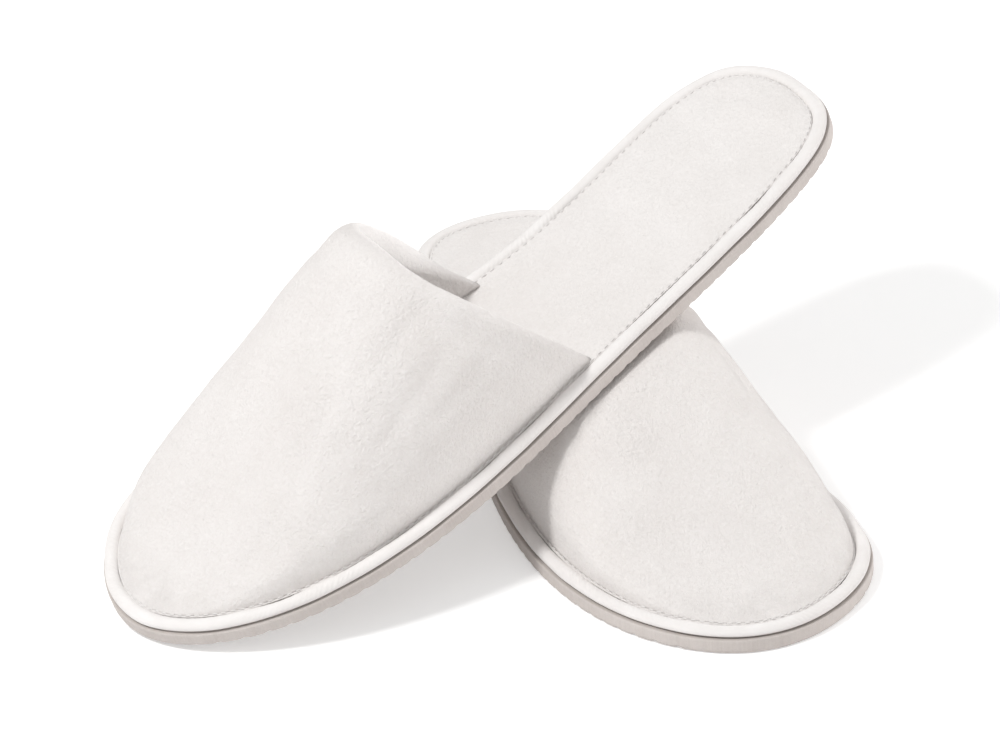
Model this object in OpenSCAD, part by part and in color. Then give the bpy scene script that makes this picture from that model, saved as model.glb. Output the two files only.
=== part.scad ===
// A pair of closed-toe, backless spa slippers.
// The right slipper stands flat on the floor. The left slipper lies across it: its toe is on the
// floor, its sole rests on the right slipper's vamp and its heel is in the air.
// Each slipper is modelled as a left one in its own frame: heel tip at x = 0, toe tip at
// x = sole_length, z = 0 on the floor side of the outsole, and +y towards the outer side.
// The origin is on the floor, under the middle of the right slipper's outsole.

/* [Sole] */
// Length of the outsole from heel to toe, in millimetres
sole_length = 285; // [250:1:310]
// Thickness of the foam outsole
outsole_thick = 4.9; // [3.5:0.1:8]
// Thickness of the fibreboard insole
board_thick = 0.8; // [0.5:0.1:2]
// Thickness of the insole sponge
foam_thick = 1.3; // [1:0.1:4]
// Thickness of the velour insole cover
cover_thick = 0.6; // [0.4:0.1:1.5]
// Distance between tread grooves
tread_pitch = 6; // [5:0.5:15]
// Depth of the tread grooves
tread_depth = 0.7; // [0.3:0.1:1.2]

/* [Outline of the sole] */
// Outer half width at the back of the heel
outer_heel_back = 20.5; // [16:0.5:24]
// Outer half width at the heel
outer_heel = 32.5; // [29:0.5:36]
// Outer half width in front of the heel
outer_heel_front = 39.5; // [36:0.5:42]
// Outer half width at the waist
outer_waist = 44; // [40:0.5:47]
// Outer half width behind the ball
outer_ball_back = 52; // [49:0.5:55]
// Outer half width at the ball
outer_ball = 54.5; // [51:0.5:57]
// Outer half width at the small toes
outer_toes = 43; // [40:0.5:46]
// Outer half width at the front
outer_front = 14.5; // [12:0.5:18]
// Inner half width at the back of the heel
inner_heel_back = 23.5; // [19:0.5:26]
// Inner half width at the heel
inner_heel = 36.5; // [33:0.5:38]
// Inner half width in front of the heel
inner_heel_front = 30; // [28:0.5:34]
// Inner half width at the waist
inner_waist = 23.5; // [21:0.5:28]
// Inner half width behind the ball
inner_ball_back = 33.5; // [30:0.5:37]
// Inner half width at the ball
inner_ball = 46; // [43:0.5:48]
// Inner half width at the big toe
inner_toes = 50.5; // [47:0.5:53]
// Inner half width at the front
inner_front = 18; // [15:0.5:21]

/* [Edge binding] */
// Ledge of outsole left outside the binding
ledge = 0.8; // [0.4:0.1:2]
// Width of the binding
binding_wide = 4.8; // [4:0.1:6]
// Height of the binding above the outsole
binding_high = 3.3; // [2.8:0.1:4]
// Width of the stitch line
stitch_wide = 0.6; // [0.4:0.1:0.8]

/* [Vamp] */
// Height of the upper slipper's vamp above the insole, at the throat
upper_vamp_high = 63.5; // [50:0.5:70]
// Height of the lower slipper's vamp above the insole, pressed by the upper slipper
lower_vamp_high = 46; // [40:0.5:46]
// Distance from the heel tip to the outer end of the throat
throat_outer = 123; // [118:1:130]
// Distance from the heel tip to the inner end of the throat
throat_inner = 122; // [118:1:130]
// Distance from the heel tip to the top of the throat
throat_top = 163.5; // [155:0.5:172]
// How far the vamp's sides bulge outwards
vamp_bulge = 6.5; // [2:0.5:8]
// Thickness of the outer velour
velour_thick = 1.2; // [0.8:0.1:1.5]
// Thickness of the sponge behind the velour
vamp_foam_thick = 1.6; // [1:0.1:2]
// Thickness of the lining
lining_thick = 0.8; // [0.5:0.1:1]

/* [Flex line] */
// Distance from the heel tip to the line where the sole bends
flex_line = 112; // [100:1:114]
// Clearance between the two halves of each sole layer
flex_gap = 0.3; // [0.2:0.1:1]

/* [Arrangement] */
// Heel tip of the upper slipper, along x
upper_x = -31.9; // [-34:0.1:-30]
// Heel tip of the upper slipper, along y
upper_y = 80.2; // [78:0.1:82]
// Heel tip of the upper slipper, above the floor
upper_z = 88.7; // [88.5:0.1:89.5]
// Turn of the upper slipper about the vertical, in degrees
upper_yaw = -72.2; // [-74:0.1:-70]
// Slope of the upper slipper, toe down, in degrees
upper_pitch = 18; // [17.9:0.1:18.2]
// Lean of the upper slipper about its own length, in degrees
upper_roll = -2.5; // [-3:0.1:-2]

/* [Hidden] */

white = [0.97, 0.95, 0.94];
cream = [0.86, 0.83, 0.80];

// Heights of the sole layers
z_board = outsole_thick;
z_foam = z_board + board_thick;
z_cover = z_foam + foam_thick;
z_top = z_cover + cover_thick;
stitch_high = 0.5;

// Heights where the binding's rounded profile steps
z_bead_side = z_board + 0.7;
z_bead_shoulder = z_board + binding_high - 0.9;
z_bead_crown = z_board + binding_high - 0.3;
z_bead_top = z_board + binding_high;

// Insets from the outline
insole_gap = 0.05;
stitch_gap = 0.1;
vamp_gap = 0.4;
edge_in = ledge + binding_wide;                 // inner edge of the binding
insole_in = edge_in + insole_gap;               // edge of the insole layers
stitch_out = edge_in + stitch_gap;              // outer edge of the stitch line
stitch_in = stitch_out + stitch_wide;           // inner edge of the stitch line
vamp_in = stitch_in + vamp_gap;                 // foot of the vamp's outer face

// --- Outline: a closed uniform cubic B-spline ---

// Share of sole_length, shift along x, outer half width, inner half width
stations = [
    [0,     -1,  outer_heel_back,  inner_heel_back],
    [0.085, 0,   outer_heel,       inner_heel],
    [0.23,  0,   outer_heel_front, inner_heel_front],
    [0.40,  0,   outer_waist,      inner_waist],
    [0.57,  0,   outer_ball_back,  inner_ball_back],
    [0.74,  0,   outer_ball,       inner_ball],
    [0.90,  0,   outer_toes,       inner_toes],
    [1,     1.3, outer_front,      inner_front]
];
function station_x(station) = station[0] * sole_length + station[1];

// Outer side from heel to toe, then inner side from toe to heel.
control = concat(
    [for (station = stations) [station_x(station), station[2]]],
    [for (i = [len(stations) - 1:-1:0]) [station_x(stations[i]), -stations[i][3]]]
);
control_count = len(control);
function control_at(i) = control[i % control_count];

// The point at share t of the span between the two middle control points.
function spline(before, start, end, after, t) =
    ((1 - t) * (1 - t) * (1 - t) * before
     + (3 * t * t * t - 6 * t * t + 4) * start
     + (-3 * t * t * t + 3 * t * t + 3 * t + 1) * end
     + t * t * t * after) / 6;

span_steps = 5;
outline = [
    for (i = [0:control_count - 1])
        for (k = [0:span_steps - 1])
            spline(control_at(i + control_count - 1), control_at(i),
                   control_at(i + 1), control_at(i + 2), k / span_steps)
];
count = len(outline);

function unit(v) = v / norm(v);

// The outline moved inwards by a distance, each point along its own normal.
function inset(distance) = [
    for (i = [0:count - 1])
        let (along = unit(outline[(i + 1) % count] - outline[(i + count - 1) % count]))
            outline[i] + distance * [along[1], -along[0]]
];

// --- Sole layers ---

// A flat layer: the outline moved in by edge, from z0 to z1.
module plate(edge, z0, z1) {
    translate([0, 0, z0]) linear_extrude(z1 - z0) polygon(inset(edge));
}

// A flat ring between two insets, from z0 to z1.
module ring(outer_edge, inner_edge, z0, z1) {
    translate([0, 0, z0]) linear_extrude(z1 - z0) difference() {
        polygon(inset(outer_edge));
        polygon(inset(inner_edge));
    }
}

// Box that keeps one half of a layer; it reaches well past the sole.
keep_behind = 50;
keep_fore_long = 300;
keep_wide = 200;
keep_high = 40;
overcut = 1; // how far cutting boxes start below the floor

// The half of a sole layer in front of the flex line, or behind it.
module part_of(fore) {
    x_start = fore ? flex_line + flex_gap / 2 : -keep_behind;
    long = fore ? keep_fore_long : keep_behind + flex_line - flex_gap / 2;
    intersection() {
        children();
        translate([x_start, -keep_wide / 2, -overcut]) cube([long, keep_wide, keep_high]);
    }
}

groove_wide = 1.8;
groove_long = 160;   // across the sole
groove_reach = 22;   // highest groove number, counted from the middle of the sole
groove_margin = 3;   // least distance from a groove's middle to the flex line

module outsole(fore) {
    difference() {
        part_of(fore) plate(0, 0, outsole_thick);
        for (k = [-groove_reach:groove_reach])
            let (x = sole_length / 2 + (k + 0.5) * tread_pitch)
                if (fore ? x > flex_line + groove_margin : x < flex_line - groove_margin)
                    translate([x - groove_wide / 2, -groove_long / 2, -overcut])
                        cube([groove_wide, groove_long, overcut + tread_depth]);
    }
}

module board(fore) { part_of(fore) plate(insole_in, z_board, z_foam); }
module foam(fore) { part_of(fore) plate(insole_in, z_foam, z_cover); }
module cover(fore) { part_of(fore) plate(insole_in, z_cover, z_top); }

// The binding is a rounded bead, built in steps.
module binding(fore) {
    part_of(fore) union() {
        ring(ledge + 0.5, edge_in, z_board, z_bead_side);
        ring(ledge, edge_in, z_bead_side, z_bead_shoulder);
        ring(ledge + 0.6, edge_in - 0.3, z_bead_shoulder, z_bead_crown);
        ring(ledge + 1.5, edge_in - 1.1, z_bead_crown, z_bead_top);
    }
}

module stitch(fore) { part_of(fore) ring(stitch_out, stitch_in, z_top, z_top + stitch_high); }

// --- Vamp: an arch over the forefoot, highest at the throat and closing at the toe ---

// Foot line of the vamp, split into an outer and an inner side as [x, y] lookup tables.
foot = inset(vamp_in);
foot_x = [for (point = foot) point[0]];
i_toe = search(max(foot_x), foot_x)[0];
i_heel = search(min(foot_x), foot_x)[0];
outer_side = [for (i = [0:i_toe]) if (foot[i][1] > 0) foot[i]];
inner_side = [for (i = [i_toe:i_heel]) if (foot[i][1] < 0) foot[i]];

arch_power = 2 / 2.25;  // the arch's section is a superellipse with exponent 2.25
throat_power = 0.94;    // shape of the throat's curve
rise_power = 1.25;      // steepness of the rise from the toe
rise_swell = 0.9;       // extra fullness between toe and throat
rise_limit = 1.3;       // cap on the rise share, which passes 1 behind the throat's top
tip_taper = 1.5;        // how far the tip moves back for each millimetre of depth
rows = 13;              // from the throat to the toe
cols = 16;              // from the outer side over the top to the inner side

// Share of the full height at share u of the way from the toe to the throat's top.
function rise(u) = pow(u, rise_power) * (1 + rise_swell * u * (1 - u));

// The angle runs over the arch: 0 at the outer side, 90 on top, 180 at the inner side.
function throat_x(angle) =
    throat_outer + (throat_inner - throat_outer) * angle / 180
    + (throat_top - (throat_outer + throat_inner) / 2) * pow(sin(angle), throat_power);

// Depth is how far a face lies inside the velour's outer face.
function tip_x(depth) = foot[i_toe][0] - tip_taper * depth;

// A point on a face, at a share of the way from the throat (0) towards the toe (1).
function vamp_point(angle, share, depth, high) =
    let (
        start = throat_x(angle),
        tip = tip_x(depth),
        x = start + (tip - start) * sin(90 * share),
        u = max(0, min(rise_limit, (tip - x) / (tip - throat_top))),
        outer_foot = lookup(x, outer_side),
        inner_foot = lookup(x, inner_side),
        bulge = vamp_bulge * sin(angle) * u,
        middle = (outer_foot + inner_foot) / 2 * (1 - min(u, 1)),
        side = cos(angle) >= 0 ? outer_foot - depth + bulge : inner_foot + depth - bulge
    )
    [
        x,
        middle + (side - middle) * pow(abs(cos(angle)), arch_power),
        z_top + (high - depth) * rise(u) * pow(sin(angle), arch_power)
    ];

// All points of one face, row by row, with the tip last.
function vamp_face(depth, high) = concat(
    [for (r = [0:rows - 1]) for (c = [0:cols]) vamp_point(180 * c / cols, r / rows, depth, high)],
    [[tip_x(depth), foot[i_toe][1], z_top]]
);
face_count = rows * (cols + 1) + 1;

// Index of a point; face 0 is the outer one and face 1 the inner one.
function id(face, r, c) =
    face * face_count + (r == rows ? face_count - 1 : r * (cols + 1) + c);

// Two triangles that fill a four-cornered patch.
function quad(a, b, c, d) = [[a, b, c], [a, c, d]];

// One layer of the vamp, between two depths.
module vamp_shell(outer_depth, inner_depth, high) {
    last = rows - 1;
    polyhedron(
        points = concat(vamp_face(outer_depth, high), vamp_face(inner_depth, high)),
        faces = concat(
            // outer face
            [for (r = [0:rows - 2]) for (c = [0:cols - 1])
                each quad(id(0, r, c), id(0, r, c + 1), id(0, r + 1, c + 1), id(0, r + 1, c))],
            [for (c = [0:cols - 1]) [id(0, last, c), id(0, last, c + 1), id(0, rows, c)]],
            // inner face
            [for (r = [0:rows - 2]) for (c = [0:cols - 1])
                each quad(id(1, r, c), id(1, r + 1, c), id(1, r + 1, c + 1), id(1, r, c + 1))],
            [for (c = [0:cols - 1]) [id(1, last, c), id(1, rows, c), id(1, last, c + 1)]],
            // throat edge
            [for (c = [0:cols - 1])
                each quad(id(0, 0, c), id(1, 0, c), id(1, 0, c + 1), id(0, 0, c + 1))],
            // foot on the outer side
            [for (r = [0:last])
                each quad(id(0, r, 0), id(0, r + 1, 0), id(1, r + 1, 0), id(1, r, 0))],
            // foot on the inner side
            [for (r = [0:last])
                each quad(id(0, r, cols), id(1, r, cols), id(1, r + 1, cols), id(0, r + 1, cols))]
        )
    );
}

// Depths of the vamp layers
layer_gap = 0.1;
sponge_out = velour_thick + layer_gap;
sponge_in = sponge_out + vamp_foam_thick;
lining_out = sponge_in + layer_gap;
lining_in = lining_out + lining_thick;

module velour(high) { vamp_shell(0, velour_thick, high); }
module sponge(high) { vamp_shell(sponge_out, sponge_in, high); }
module lining(high) { vamp_shell(lining_out, lining_in, high); }

// --- Placing ---

// The right slipper is the mirror image, flat on the floor.
module place_right() { translate([-sole_length / 2, 0, 0]) mirror([0, 1, 0]) children(); }

// The left slipper lies across the right one.
module place_left() {
    translate([upper_x, upper_y, upper_z])
        rotate([upper_roll, upper_pitch, upper_yaw])
            children();
}

// --- Nodes ---

module right_outsole_fore() { color(cream) place_right() outsole(true); }
module right_outsole_heel() { color(cream) place_right() outsole(false); }
module right_insole_board_fore() { color("tan") place_right() board(true); }
module right_insole_board_heel() { color("tan") place_right() board(false); }
module right_insole_foam_fore() { color("ivory") place_right() foam(true); }
module right_insole_foam_heel() { color("ivory") place_right() foam(false); }
module right_insole_cover_fore() { color(white) place_right() cover(true); }
module right_insole_cover_heel() { color(white) place_right() cover(false); }
module right_edge_binding_fore() { color(white) place_right() binding(true); }
module right_edge_binding_heel() { color(white) place_right() binding(false); }
module right_binding_stitch_fore() { color(cream) place_right() stitch(true); }
module right_binding_stitch_heel() { color(cream) place_right() stitch(false); }
module right_vamp_outer() { color(white) place_right() velour(lower_vamp_high); }
module right_vamp_foam() { color("ivory") place_right() sponge(lower_vamp_high); }
module right_vamp_lining() { color(white) place_right() lining(lower_vamp_high); }
module left_outsole_fore() { color(cream) place_left() outsole(true); }
module left_outsole_heel() { color(cream) place_left() outsole(false); }
module left_insole_board_fore() { color("tan") place_left() board(true); }
module left_insole_board_heel() { color("tan") place_left() board(false); }
module left_insole_foam_fore() { color("ivory") place_left() foam(true); }
module left_insole_foam_heel() { color("ivory") place_left() foam(false); }
module left_insole_cover_fore() { color(white) place_left() cover(true); }
module left_insole_cover_heel() { color(white) place_left() cover(false); }
module left_edge_binding_fore() { color(white) place_left() binding(true); }
module left_edge_binding_heel() { color(white) place_left() binding(false); }
module left_binding_stitch_fore() { color(cream) place_left() stitch(true); }
module left_binding_stitch_heel() { color(cream) place_left() stitch(false); }
module left_vamp_outer() { color(white) place_left() velour(upper_vamp_high); }
module left_vamp_foam() { color("ivory") place_left() sponge(upper_vamp_high); }
module left_vamp_lining() { color(white) place_left() lining(upper_vamp_high); }

right_outsole_fore();
right_outsole_heel();
right_insole_board_fore();
right_insole_board_heel();
right_insole_foam_fore();
right_insole_foam_heel();
right_insole_cover_fore();
right_insole_cover_heel();
right_edge_binding_fore();
right_edge_binding_heel();
right_binding_stitch_fore();
right_binding_stitch_heel();
right_vamp_outer();
right_vamp_foam();
right_vamp_lining();
left_outsole_fore();
left_outsole_heel();
left_insole_board_fore();
left_insole_board_heel();
left_insole_foam_fore();
left_insole_foam_heel();
left_insole_cover_fore();
left_insole_cover_heel();
left_edge_binding_fore();
left_edge_binding_heel();
left_binding_stitch_fore();
left_binding_stitch_heel();
left_vamp_outer();
left_vamp_foam();
left_vamp_lining();
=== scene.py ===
"""A pair of spa slippers: velour vamps, padded insoles, bead bindings and foam outsoles.

Each slipper is drawn in its own frame in millimetres: heel tip at x = 0, toe at x = 285, z = 0
under the outsole, +y to the outer side of the left foot. It is then placed in the row, which is
in metres. The right slipper is mirrored and lies flat with its toe to +x. The left one lies
across its vamp, heel raised and toe low, pointing mostly to -y.
"""

import math
from functools import cache
from types import SimpleNamespace

import bmesh
import bpy
import numpy as np
from mathutils import Matrix, Vector


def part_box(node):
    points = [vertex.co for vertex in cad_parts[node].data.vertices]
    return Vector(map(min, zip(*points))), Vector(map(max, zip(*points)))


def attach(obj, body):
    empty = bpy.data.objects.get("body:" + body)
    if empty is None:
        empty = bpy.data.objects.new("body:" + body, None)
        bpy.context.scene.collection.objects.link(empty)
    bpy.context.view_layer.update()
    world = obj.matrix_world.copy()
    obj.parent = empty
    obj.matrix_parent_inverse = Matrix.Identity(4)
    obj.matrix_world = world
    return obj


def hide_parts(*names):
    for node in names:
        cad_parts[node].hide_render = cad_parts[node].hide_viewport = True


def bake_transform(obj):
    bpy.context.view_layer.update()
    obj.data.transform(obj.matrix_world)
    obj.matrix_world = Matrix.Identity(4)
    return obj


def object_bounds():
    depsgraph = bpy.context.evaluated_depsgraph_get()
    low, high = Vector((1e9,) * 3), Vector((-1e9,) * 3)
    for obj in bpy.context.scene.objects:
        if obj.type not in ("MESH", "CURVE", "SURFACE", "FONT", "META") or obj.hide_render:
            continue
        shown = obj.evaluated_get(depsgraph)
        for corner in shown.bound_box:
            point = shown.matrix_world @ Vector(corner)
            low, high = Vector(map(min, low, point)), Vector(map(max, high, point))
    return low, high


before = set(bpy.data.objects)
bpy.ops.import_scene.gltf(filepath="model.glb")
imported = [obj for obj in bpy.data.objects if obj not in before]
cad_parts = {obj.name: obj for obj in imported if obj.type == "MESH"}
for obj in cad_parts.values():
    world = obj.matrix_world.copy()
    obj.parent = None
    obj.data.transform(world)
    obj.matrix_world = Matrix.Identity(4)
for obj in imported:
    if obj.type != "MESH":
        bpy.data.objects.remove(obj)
cad_lo, cad_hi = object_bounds()

# ------------------------------------------------------------------ sizes, in millimetres
LENGTH = 285.0
# Heights where the layers of the sole meet.
Z_BOARD, Z_FOAM, Z_COVER = 4.9, 5.7, 7.0
Z_FOOT = 7.6  # foot of the vamp
# Distances in from the outline.
EDGE_IN = 5.6  # inner edge of the binding
FOOT_IN = 6.7  # foot of the vamp's outer face
LAYER_IN = EDGE_IN + 0.1  # side of the board and the foam
COVER_IN = EDGE_IN - 0.1  # side of the insole cover
# The throat: x at its outer foot, at its inner foot and at the top of the arch.
THROAT_OUTER, THROAT_INNER, THROAT_TOP = 123.0, 122.0, 163.5
BULGE = 6.5  # how far the vamp's flanks swell sideways
STITCH_PITCH = 3.3

# Control points of the outline, from heel to toe:
# share of the length, shift along x, width to the outer side, width to the inner side.
OUTLINE = np.array([
    (0.000, -1.0, 20.5, 23.5),
    (0.085, 0.0, 32.5, 36.5),
    (0.230, 0.0, 39.5, 30.0),
    (0.400, 0.0, 44.0, 23.5),
    (0.570, 0.0, 52.0, 33.5),
    (0.740, 0.0, 54.5, 46.0),
    (0.900, 0.0, 43.0, 50.5),
    (1.000, 1.3, 14.5, 18.0),
])

# What differs between the slippers. height: vamp height, before the upper slipper presses the
# lower one. hem_reach: how far the hem stands out over the top and the inner side. plush: how
# far the pile stands proud. sag_limit: largest simulated move. turned: strength of the painted
# light (paler colour and glow) on the turned-in cloth. Creases run from (x, arch angle) to (x,
# arch angle), with depth, half width.
STYLE = {
    "left": SimpleNamespace(
        height=63.5, hem_reach=3.3, plush=0.55, sag_limit=2.6, turned=1.0,
        pad_seed=47, cover_seed=41, bead_seed=7, fold_seed=81, broad_seed=61, fine_seed=71,
        creases=[
            (150, 60, 192, 55, 0.75, 4.6),
            (164, 42, 206, 33, 0.6, 4.0),
            (196, 70, 240, 52, 0.5, 4.6),
            (158, 28, 186, 22, 0.45, 3.0),
            (206, 122, 240, 112, 0.45, 4.2),
        ],
    ),
    "right": SimpleNamespace(
        height=51.5, hem_reach=2.4, plush=0.35, sag_limit=1.3, turned=0.4,
        pad_seed=53, cover_seed=43, bead_seed=8, fold_seed=83, broad_seed=67, fine_seed=73,
        creases=[
            (172, 120, 206, 134, 0.6, 4.0),
            (196, 92, 232, 104, 0.55, 4.4),
            (216, 126, 248, 138, 0.5, 3.6),
            (176, 60, 208, 48, 0.5, 4.0),
        ],
    ),
}


# ------------------------------------------------------------------ curves and fields
def smooth(x, start, end):
    """0 before start, 1 after end, with a soft step between."""
    t = np.clip((np.asarray(x, float) - start) / (end - start), 0, 1)
    return t * t * (3 - 2 * t)


def hill(x, centre, width):
    """A bell of height 1."""
    return np.exp(-(((x - centre) / width) ** 2))


def cosine_steps(count):
    """0 to 1 in count steps, close together at both ends."""
    return (1 - np.cos(math.pi * np.linspace(0, 1, count + 1))) / 2


def waves(points, size, seed):
    """A smooth uneven field over points, about -1 to 1, with features of about this size."""
    count = 14
    rng = np.random.RandomState(seed)
    points = np.asarray(points, float)
    total = np.zeros(points.shape[:-1])
    for _ in range(count):
        k = rng.normal(size=points.shape[-1])
        k *= 2 * math.pi / (size * rng.uniform(1.3, 2.8)) / np.linalg.norm(k)
        total += np.sin(points @ k + rng.uniform(0, 2 * math.pi))
    return total / math.sqrt(count / 2) / 1.6


def cubic_basis(f):
    """Six times the four weights of a uniform cubic B-spline."""
    return (
        (1 - f) ** 3,
        3 * f**3 - 6 * f**2 + 4,
        -3 * f**3 + 3 * f**2 + 3 * f + 1,
        f**3,
    )


def spread(field, row, col):
    """The field (rows, columns, k) at fractional rows and columns, smoothly."""
    row_floor, col_floor = np.floor(row).astype(int), np.floor(col).astype(int)
    row_weights = [w / 6 for w in cubic_basis(row - row_floor)]
    col_weights = [w / 6 for w in cubic_basis(col - col_floor)]
    total = 0.0
    for i in range(4):
        for j in range(4):
            value = field[
                np.clip(row_floor + i - 1, 0, field.shape[0] - 1),
                np.clip(col_floor + j - 1, 0, field.shape[1] - 1),
            ]
            total = total + value * (row_weights[i] * col_weights[j])[..., None]
    return total


# ------------------------------------------------------------------ the rim
def control_points():
    """The closed loop of control points: outer side to the toe, inner side back."""
    share, shift, outer, inner = OUTLINE.T
    x = share * LENGTH + shift
    return np.concatenate([np.stack([x, outer], 1), np.stack([x, -inner], 1)[::-1]])


CONTROL = control_points()


def spline(t):
    """Point and derivative of the closed outline."""
    n = len(CONTROL)
    t = np.asarray(t, float) % n
    i = np.floor(t).astype(int)
    f = (t - i)[:, None]
    a, b, c, d = (CONTROL[(i + k) % n] for k in (-1, 0, 1, 2))
    point = sum(w * q for w, q in zip(cubic_basis(f), (a, b, c, d))) / 6
    slope = (
        -((1 - f) ** 2) * a
        + (3 * f**2 - 4 * f) * b
        + (-3 * f**2 + 2 * f + 1) * c
        + f**2 * d
    ) / 2
    return point, slope


RIM_STEPS = 2400


def sample_rim():
    """The outline's perimeter, and its points and inward normals at equal steps."""
    t = np.linspace(0, len(CONTROL), 6401)
    dense, _ = spline(t)
    steps = np.linalg.norm(np.diff(dense, axis=0), axis=1)
    arc = np.concatenate([[0], np.cumsum(steps)])
    perimeter = arc[-1]
    even = np.interp(np.arange(RIM_STEPS) * perimeter / RIM_STEPS, arc, t)
    points, along = spline(even)
    along /= np.linalg.norm(along, axis=1)[:, None]
    return perimeter, points, np.stack([along[:, 1], -along[:, 0]], 1)


PERIMETER, RIM_POINTS, RIM_NORMALS = sample_rim()
HEEL, TOE = int(np.argmin(RIM_POINTS[:, 0])), int(np.argmax(RIM_POINTS[:, 0]))
HEEL_X, TOE_X = RIM_POINTS[HEEL, 0], RIM_POINTS[TOE, 0]
OUTER_STEPS = (TOE - HEEL) % RIM_STEPS
OUTER_RUN = HEEL + np.arange(OUTER_STEPS + 1)  # rim positions from heel to toe
INNER_RUN = HEEL + np.arange(OUTER_STEPS, RIM_STEPS + 1)  # from toe back to heel
STITCHES = int(round(PERIMETER / STITCH_PITCH))


def rim_blend(table, position):
    """A table of rim values at fractional rim positions."""
    position = np.asarray(position, float) % RIM_STEPS
    i = np.floor(position).astype(int)
    w = (position - i)[..., None]
    return table[i] * (1 - w) + table[(i + 1) % RIM_STEPS] * w


def rim_normal(position):
    n = rim_blend(RIM_NORMALS, position)
    return n / np.linalg.norm(n, axis=-1, keepdims=True)


def rim(position, inset=0.0):
    """Points of the outline moved in by inset, at fractional rim positions."""
    inset = np.asarray(inset)[..., None]
    return rim_blend(RIM_POINTS, position) + rim_normal(position) * inset


def rim_at(x, inset=0.0):
    """Rim positions (outer side, inner side) whose point moved in by inset has this x."""
    outer, inner = rim(OUTER_RUN, inset), rim(INNER_RUN, inset)
    return (
        np.interp(x, outer[:, 0], OUTER_RUN),
        np.interp(-np.asarray(x), -inner[:, 0], INNER_RUN),
    )


def edge_distance(xy, inset, step=2):
    """Distance of each point from the outline moved in by inset, and the nearest rim position."""
    positions = np.arange(0, RIM_STEPS, step)
    ring = rim(positions, inset)
    flat = xy.reshape(-1, 2)
    distance, nearest = np.empty(len(flat)), np.empty(len(flat))
    chunk = 2000
    for k in range(0, len(flat), chunk):
        part = flat[k : k + chunk]
        squares = ((part[:, None, :] - ring[None]) ** 2).sum(2)
        j = squares.argmin(1)
        distance[k : k + chunk] = np.sqrt(squares[np.arange(len(part)), j])
        nearest[k : k + chunk] = positions[j]
    return distance.reshape(xy.shape[:-1]), nearest.reshape(xy.shape[:-1])


def columns(count):
    """Rim positions of count + 1 cross lines, close together at the two rounded tips."""
    outer, inner = rim_at(HEEL_X + (TOE_X - HEEL_X) * cosine_steps(count))
    outer[0], inner[0] = HEEL, HEEL + RIM_STEPS
    outer[-1], inner[-1] = TOE, HEEL + OUTER_STEPS
    return outer, inner


def span(outer, inner, inset, across):
    """Grid of points between the two sides of the outline moved in by inset."""
    v = cosine_steps(across)[None, :, None]
    return rim(outer, inset)[:, None] * (1 - v) + rim(inner, inset)[:, None] * v


# ------------------------------------------------------------------ where each slipper stands
def rotation(axis, degrees):
    return np.array(Matrix.Rotation(math.radians(degrees), 3, axis))


LEFT_TURN = rotation("Z", -72.2) @ rotation("Y", 18.0) @ rotation("X", -2.5)
# Place of each slipper's origin in the row, in millimetres, before settle() corrects it.
SHIFT = {"right": np.array([-LENGTH / 2, 0, 0]), "left": np.array([-31.9, 80.2, 88.7])}
MIRROR = [1, -1, 1]


def to_row(side, vectors):
    """Slipper directions turned into the row's."""
    return vectors * MIRROR if side == "right" else vectors @ LEFT_TURN.T


def from_row(side, vectors):
    """Row directions turned into the slipper's."""
    return vectors * MIRROR if side == "right" else vectors @ LEFT_TURN


def place(side, points):
    """Slipper millimetres to row metres."""
    return (to_row(side, np.asarray(points, float)) + SHIFT[side]) * 0.001


def settle():
    """Takes each slipper's exact place from the outsoles of the CAD."""
    base = rim(np.arange(RIM_STEPS))
    solid = np.concatenate([np.c_[base, np.full(RIM_STEPS, z)] for z in (0.0, Z_BOARD)])
    for side in ("right", "left"):
        boxes = [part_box(f"{side}_outsole_{half}") for half in ("fore", "heel")]
        lo = np.min([np.array(box[0]) for box in boxes], axis=0)
        hi = np.max([np.array(box[1]) for box in boxes], axis=0)
        drawn = place(side, solid)
        offset = (lo + hi) / 2 - (drawn.min(0) + drawn.max(0)) / 2
        SHIFT[side] = SHIFT[side] + offset * 1000


settle()


# ------------------------------------------------------------------ meshes
def build(name, side, verts, faces, weld=True, uvs=None, inner=None):
    """A mesh object from slipper millimetres.

    It keeps the slipper coordinates as "flat" for the materials, and inner, which is 1 on the
    turned-in side of the cloth, where the velour paints light. With uvs, the faces already point
    outwards on the left slipper; without, their directions are worked out.
    """
    verts = np.asarray(verts, float)
    mesh = bpy.data.meshes.new(name)
    if uvs is not None and side == "right":
        faces = [face[::-1] for face in faces]
        uvs = [corners[::-1] for corners in uvs]
    mesh.from_pydata([tuple(v) for v in place(side, verts)], [], faces)
    if uvs is not None:
        layer = mesh.uv_layers.new(name="UVMap")
        layer.data.foreach_set("uv", np.array(uvs, np.float32).ravel())
    flat = mesh.attributes.new("flat", "FLOAT_VECTOR", "POINT")
    flat.data.foreach_set("vector", verts.astype(np.float32).ravel())
    if inner is not None:
        attribute = mesh.attributes.new("inner", "FLOAT", "POINT")
        attribute.data.foreach_set("value", inner.astype(np.float32).ravel())
    if uvs is None:
        bm = bmesh.new()
        bm.from_mesh(mesh)
        if weld:
            bmesh.ops.remove_doubles(bm, verts=bm.verts, dist=1e-6)
            bmesh.ops.dissolve_degenerate(bm, edges=bm.edges, dist=1e-7)
        bmesh.ops.recalc_face_normals(bm, faces=bm.faces)
        bm.to_mesh(mesh)
        bm.free()
    mesh.polygons.foreach_set("use_smooth", np.ones(len(mesh.polygons), bool))
    mesh.update()
    obj = bpy.data.objects.new(name, mesh)
    bpy.context.scene.collection.objects.link(obj)
    return obj


def level(z):
    """A height function that is z everywhere."""
    return lambda points: np.full(points.shape[:-1], z)


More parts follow.
